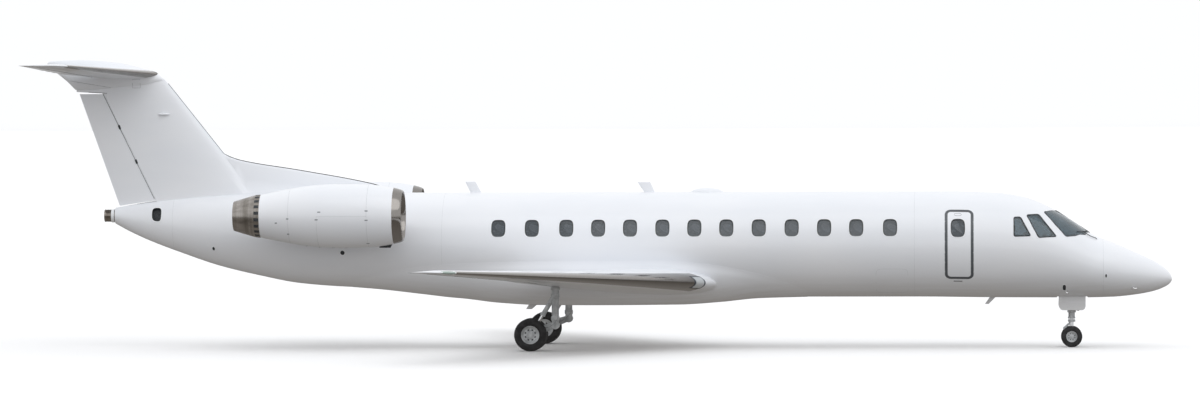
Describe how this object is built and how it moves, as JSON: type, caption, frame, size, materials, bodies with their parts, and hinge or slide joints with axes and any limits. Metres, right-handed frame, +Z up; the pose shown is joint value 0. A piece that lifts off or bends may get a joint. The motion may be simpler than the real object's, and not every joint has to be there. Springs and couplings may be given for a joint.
{
  "type": "regional jet",
  "caption": "Regional jet airliner with a T-tail, engines on the rear fuselage, swept low wings and a fold-down airstair door, parked on its landing gear.",
  "frame": {"origin": "centre of the bounding box, on the ground that the wheels stand on", "axes": "+X forwards along the fuselage, +Y to the left wing tip, +Z up"},
  "size_m": [26.3301, 20.04, 6.7599],
  "materials": {
    "white_paint": "gloss white polyurethane paint",
    "polished_aluminium": "polished",
    "heat_tinted_metal": "bare, tinted brown by heat",
    "engine_metal": "satin",
    "gear_paint": "satin light grey paint",
    "tyre_rubber": "matt",
    "cockpit_glass": "clear laminated",
    "panel_plastic": "satin",
    "seat_cloth": "woven"
  },
  "bodies": {
    "root": {"radome": "white_paint", "forward_fuselage": "white_paint", "cabin_fuselage": "white_paint", "rear_fuselage": "white_paint", "tail_cone": "white_paint", "apu_exhaust": "heat_tinted_metal", "wing_body_fairing": "white_paint", "service_door": "white_paint", "baggage_door": "white_paint", "windshield_left": "cockpit_glass", "windshield_right": "cockpit_glass", "cockpit_window_side_left": "cockpit_glass", "cockpit_window_side_right": "cockpit_glass", "cockpit_window_aft_left": "cockpit_glass", "cockpit_window_aft_right": "cockpit_glass", "instrument_panel": "panel_plastic", "pilot_seat_left": "seat_cloth", "pilot_seat_right": "seat_cloth", "wing_left": "white_paint", "wing_right": "white_paint", "wing_leading_edge_left": "polished_aluminium", "wing_leading_edge_right": "polished_aluminium", "flap_inboard_left": "white_paint", "flap_inboard_right": "white_paint", "flap_outboard_left": "white_paint", "flap_outboard_right": "white_paint", "fin": "white_paint", "stabilizer": "white_paint", "fin_top_fairing": "white_paint", "nacelle_left": "white_paint", "nacelle_right": "white_paint", "intake_lip_left": "polished_aluminium", "intake_lip_right": "polished_aluminium", "exhaust_nozzle_left": "heat_tinted_metal", "exhaust_nozzle_right": "heat_tinted_metal", "engine_core_left": "engine_metal", "engine_core_right": "engine_metal", "pylon_left": "white_paint", "pylon_right": "white_paint", "nose_leg": "gear_paint", "nose_gear_door_left": "white_paint", "nose_gear_door_right": "white_paint", "main_leg_left": "gear_paint", "main_leg_right": "gear_paint"},
    "airstair": {"airstair_door": "white_paint"},
    "rudder": {"rudder": "white_paint"},
    "elevator_left": {"elevator_left": "white_paint"},
    "elevator_right": {"elevator_right": "white_paint"},
    "aileron_left": {"aileron_left": "white_paint"},
    "aileron_right": {"aileron_right": "white_paint"},
    "spoiler_left": {"spoiler_left": "white_paint"},
    "spoiler_right": {"spoiler_right": "white_paint"},
    "fan_left": {"fan_left": "engine_metal"},
    "fan_right": {"fan_right": "engine_metal"},
    "steering": {"nose_fork": "gear_paint"},
    "nose_wheels": {"nose_wheels": "tyre_rubber"},
    "main_wheels_left": {"main_wheels_left": "tyre_rubber"},
    "main_wheels_right": {"main_wheels_right": "tyre_rubber"}
  },
  "joints": [
    {"name": "airstair_hinge", "type": "hinge", "parent": "root", "child": "airstair", "pos_m": [8.29, 0.9558, 1.63], "axis": [-1, 0, 0], "range_deg": [0, 135]},
    {"name": "rudder_hinge", "type": "hinge", "parent": "root", "child": "rudder", "pos_m": [-10.605, 0, 3.44], "axis": [-0.4389, 0, 0.8986], "range_deg": [-15, 15]},
    {"name": "elevator_left_hinge", "type": "hinge", "parent": "root", "child": "elevator_left", "pos_m": [-12.06195, 0.28, 6.43288], "axis": [-0.2158, 0.9754, 0.0449], "range_deg": [-15, 25]},
    {"name": "elevator_right_hinge", "type": "hinge", "parent": "root", "child": "elevator_right", "pos_m": [-12.06195, -0.28, 6.43288], "axis": [0.2158, 0.9754, -0.0449], "range_deg": [-15, 25]},
    {"name": "aileron_left_hinge", "type": "hinge", "parent": "root", "child": "aileron_left", "pos_m": [-2.40105, 7.16, 1.8887], "axis": [-0.3163, 0.9473, 0.0514], "range_deg": [-15, 25]},
    {"name": "aileron_right_hinge", "type": "hinge", "parent": "root", "child": "aileron_right", "pos_m": [-2.40105, -7.16, 1.8887], "axis": [0.3163, 0.9473, -0.0514], "range_deg": [-15, 25]},
    {"name": "spoiler_left_hinge", "type": "hinge", "parent": "root", "child": "spoiler_left", "pos_m": [-0.99312, 4.3, 1.87682], "axis": [-0.3642, 0.9308, 0.0314], "range_deg": [0, 40]},
    {"name": "spoiler_right_hinge", "type": "hinge", "parent": "root", "child": "spoiler_right", "pos_m": [-0.99312, -4.3, 1.87682], "axis": [0.3642, 0.9308, -0.0314], "range_deg": [0, 40]},
    {"name": "fan_left_spin", "type": "hinge", "parent": "root", "child": "fan_left", "pos_m": [-5.635, 2.2, 3.12], "axis": [1, 0, 0], "continuous": true},
    {"name": "fan_right_spin", "type": "hinge", "parent": "root", "child": "fan_right", "pos_m": [-5.635, -2.2, 3.12], "axis": [1, 0, 0], "continuous": true},
    {"name": "nose_steering", "type": "hinge", "parent": "root", "child": "steering", "pos_m": [10.845, 0, 0.2452], "axis": [0, 0, 1], "range_deg": [-71, 71]},
    {"name": "nose_wheels_spin", "type": "hinge", "parent": "steering", "child": "nose_wheels", "pos_m": [10.845, 0, 0.2452], "axis": [0, 1, 0], "continuous": true},
    {"name": "main_wheels_left_spin", "type": "hinge", "parent": "root", "child": "main_wheels_left", "pos_m": [-1.585, 2.05, 0.3776], "axis": [0, 1, 0], "continuous": true},
    {"name": "main_wheels_right_spin", "type": "hinge", "parent": "root", "child": "main_wheels_right", "pos_m": [-1.585, -2.05, 0.3776], "axis": [0, 1, 0], "continuous": true}
  ]
}
